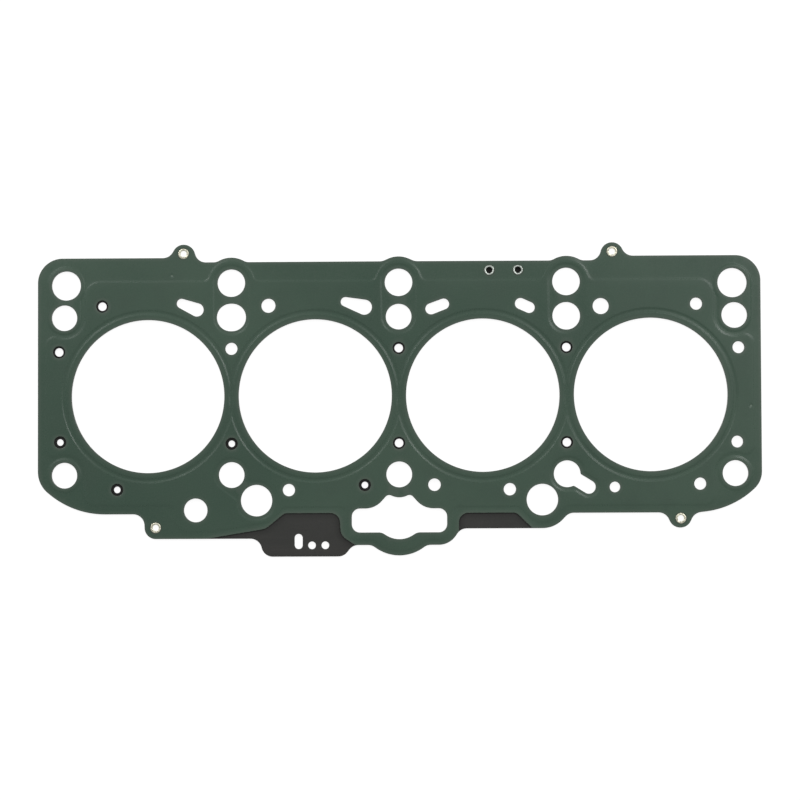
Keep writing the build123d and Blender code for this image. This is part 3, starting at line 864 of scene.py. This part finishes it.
def rivet_steel():
    """Bright rolled mouth of the small rivets, with painted shade: the inside of each cup is coloured
    near-black.
    """
    g = Graph("rivet_metal")
    tone = g.noise(700.0, 3.0, 0.6)
    tick = g.noise(2400.0, 2.0, 0.6)
    r = g.attr("radius")
    bright = g.mix(g.ramp(tone, 0.35, 0.68), srgb(190, 198, 190), srgb(214, 221, 214))
    dull = g.mix(g.ramp(tone, 0.35, 0.68), srgb(24, 25, 23), srgb(40, 40, 38))
    # painted shade: inside the rivet cup the colour goes near-black and duller, standing in for the
    # shade there
    shaded_hollow = g.ramp(r, 1.62, 1.84, 1.0, 0.0)
    col = g.mix(shaded_hollow, bright, dull)
    col = g.mix(g.ramp(tick, 0.55, 0.75, 0.0, 0.3), col, srgb(104, 106, 100))
    g.link(col, g.bsdf.inputs["Base Color"])
    g.link(g.math("SUBTRACT", 0.95, g.math("MULTIPLY", shaded_hollow, 0.45)), g.bsdf.inputs["Metallic"])
    g.link(g.math("ADD", g.ramp(tone, 0.3, 0.7, 0.36, 0.48), g.math("MULTIPLY", shaded_hollow, 0.3)),
           g.bsdf.inputs["Roughness"])
    g.bump(g.math("ADD", tone, g.math("MULTIPLY", tick, 0.4)), 0.3, 0.00004)
    return g.mat


mat_green, mat_cut, mat_core = coating(), cut_steel(), carrier()
mat_eye, mat_rivet = plated(), rivet_steel()

# -------------------------------------------------------------------- the pieces
V, F, parts, attrs = bead_sheet_mesh(+1, Z_TOP + SHEET, Z_TOP, True)
upper = make_object("upper_bead_sheet", V, F, parts, attrs, [mat_green, mat_cut])
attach(upper, "root")
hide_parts("upper_sheet")

V, F, parts, attrs = bead_sheet_mesh(-1, Z_BOT, Z_MID, False)
lower = make_object("lower_bead_sheet", V, F, parts, attrs, [mat_green, mat_cut])
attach(lower, "root")
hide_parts("lower_sheet")

V, F, parts, attrs = core_mesh()
core = make_object("core_carrier_sheet", V, F, parts, attrs, [mat_core, mat_cut])
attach(core, "root")
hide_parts("core_sheet")

lo_z, hi_z = Z_BOT, Z_TOP + SHEET
t = EYE_FLANGE_T
eye_profile = [
    (EYE_BORE + 0.10, lo_z - t), (EYE_BORE + 0.30, lo_z - t + 0.005),
    (EYE_FLANGE_R - 0.16, lo_z - t + 0.01), (EYE_FLANGE_R - 0.05, lo_z - t + 0.05),
    (EYE_FLANGE_R, lo_z - t / 2), (EYE_FLANGE_R - 0.03, lo_z - 0.02), (EYE_WALL_R + 0.06, lo_z),
    (EYE_WALL_R, lo_z + 0.05), (EYE_WALL_R, hi_z - 0.05), (EYE_WALL_R + 0.06, hi_z),
    (EYE_FLANGE_R - 0.04, hi_z + 0.015), (EYE_FLANGE_R, hi_z + 0.07),
    (EYE_FLANGE_R - 0.03, hi_z + 0.12), (EYE_FLANGE_R - 0.13, hi_z + t - 0.05),
    (EYE_FLANGE_R - 0.34, hi_z + t - 0.01), (EYE_FLANGE_R - 0.62, hi_z + t),
    (EYE_BORE + 0.30, hi_z + t - 0.015), (EYE_BORE + 0.14, hi_z + t - 0.06),
    (EYE_BORE + 0.04, hi_z + t - 0.15), (EYE_BORE, hi_z + t - 0.30),
    (EYE_BORE, (lo_z + hi_z) / 2), (EYE_BORE, lo_z - t + 0.22), (EYE_BORE + 0.03, lo_z - t + 0.09),
]


def crimped(i, r, z, a, k):
    """Eight shallow creases in the rolled flange."""
    if z > hi_z + 0.05 and r > EYE_BORE + 0.05:
        w = (0.5 + 0.5 * math.cos(8 * a + 0.9 * k)) ** 6
        return 0.0, -0.05 * w * min(1.0, (r - EYE_BORE) / 0.5)
    return 0.0, 0.0


V, F, rad = lathe(eye_profile[::-1], EYELETS, 96, crimped)
eyes = make_object("hollow_eyelets", V, F, [], {"radius": rad}, [mat_eye], 40)
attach(eyes, "root")
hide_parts("eyelets")

hd = RIVET_HEAD_T
riv_profile = [
    (0.0, lo_z - hd), (RIVET_HEAD_R - 0.25, lo_z - hd + 0.005),
    (RIVET_HEAD_R - 0.08, lo_z - hd + 0.04), (RIVET_HEAD_R, lo_z - 0.09),
    (RIVET_HEAD_R - 0.03, lo_z), (RIVET_R + 0.03, lo_z), (RIVET_R, lo_z + 0.05),
    (RIVET_R, hi_z - 0.04), (RIVET_R + 0.04, hi_z), (RIVET_HEAD_R - 0.06, hi_z + 0.005),
]
riv_profile += [(RIVET_HEAD_R - 0.33 + 0.33 * math.cos(math.radians(a)),
                 hi_z + 0.13 + 0.33 * math.sin(math.radians(a)))
                for a in (-18, 0, 18, 36, 54, 72, 90)]
riv_profile += [(RIVET_BORE + 0.66, hi_z + 0.46), (RIVET_BORE + 0.48, hi_z + 0.44),
                (RIVET_BORE + 0.32, hi_z + 0.38), (RIVET_BORE + 0.19, hi_z + 0.29),
                (RIVET_BORE + 0.09, hi_z + 0.17), (RIVET_BORE + 0.02, hi_z),
                (RIVET_BORE, hi_z - 0.2), (RIVET_BORE, lo_z + 0.45),
                (RIVET_BORE - 0.06, lo_z + 0.28), (RIVET_BORE - 0.25, lo_z + 0.22),
                (0.5, lo_z + 0.15), (0.0, lo_z + 0.12)]


def rolled_mouth(i, r, z, a, k):
    """The mouth was rolled over by hand tooling, so its rim is a little uneven."""
    if z > hi_z + 0.1:
        return (0.02 * math.sin(3 * a + k) + 0.012 * math.sin(7 * a + 2 * k),
                -0.02 * (0.5 + 0.5 * math.sin(5 * a + 1.7 * k)))
    return 0.0, 0.0


V, F, rad = lathe(riv_profile, RIVETS, 72, rolled_mouth)
rivs = make_object("tubular_rivets", V, F, [], {"radius": rad}, [mat_rivet], 50)
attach(rivs, "root")
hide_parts("small_rivets")

# ------------------------------------------------------------- floor and lights
size = 4.0
fm = bpy.data.meshes.new("studio_floor")
fm.from_pydata([(-size, -size, 0), (size, -size, 0), (size, size, 0), (-size, size, 0)],
               [], [(0, 1, 2, 3)])
floor = bpy.data.objects.new("studio_floor", fm)
floor.location = (0, 0, -0.0001)
bpy.context.scene.collection.objects.link(floor)
fl = bpy.data.materials.new("studio_floor")
fl.use_nodes = True
fb = next(n for n in fl.node_tree.nodes if n.type == "BSDF_PRINCIPLED")
fb.inputs["Base Color"].default_value = (0.24, 0.24, 0.24, 1)
fb.inputs["Roughness"].default_value = 0.9
fb.inputs["Specular IOR Level"].default_value = 0.1
fb.inputs["Emission Color"].default_value = (1, 1, 1, 1)
fb.inputs["Emission Strength"].default_value = 0.88
fm.materials.append(fl)

world = bpy.data.worlds.new("studio")
world.use_nodes = True
bg = next(n for n in world.node_tree.nodes if n.type == "BACKGROUND")
bg.inputs["Color"].default_value = (1, 1, 1, 1)
bg.inputs["Strength"].default_value = 0.36
bpy.context.scene.world = world


def softbox(name, at, aim, w, h, power):
    d = bpy.data.lights.new(name, "AREA")
    d.shape = "RECTANGLE"
    d.size, d.size_y = w, h
    d.energy = power
    o = bpy.data.objects.new(name, d)
    o.location = at
    o.rotation_euler = (Vector(aim) - Vector(at)).to_track_quat("-Z", "Y").to_euler()
    bpy.context.scene.collection.objects.link(o)
    return o


softbox("key_left", (-0.92, 0.90, 2.60), (0, 0, 0), 0.40, 0.40, 4.3)
softbox("key_right", (0.93, 0.76, 2.60), (0, 0, 0), 0.40, 0.40, 9.2)
softbox("low_left", (-1.30, 1.10, 1.10), (0, 0, 0), 0.8, 0.8, 13.0)
softbox("low_right", (1.30, 1.10, 1.10), (0, 0, 0), 0.8, 0.8, 13.0)

cam_data = bpy.data.cameras.new("camera")
cam_data.sensor_width = 36.0
cam_data.lens = 102.80
cam_data.clip_start, cam_data.clip_end = 0.05, 20.0
cam = bpy.data.objects.new("camera", cam_data)
cam.location = (0.01923, -0.03590, 1.2)
cam.rotation_euler = (0.02968, 0.01562, -0.00397)
bpy.context.scene.collection.objects.link(cam)
bpy.context.scene.camera = cam

bpy.context.scene.view_settings.view_transform = "Standard"
bpy.context.scene.view_settings.look = "None"
bpy.context.scene.view_settings.exposure = 0.0
bpy.context.scene.view_settings.gamma = 1.0
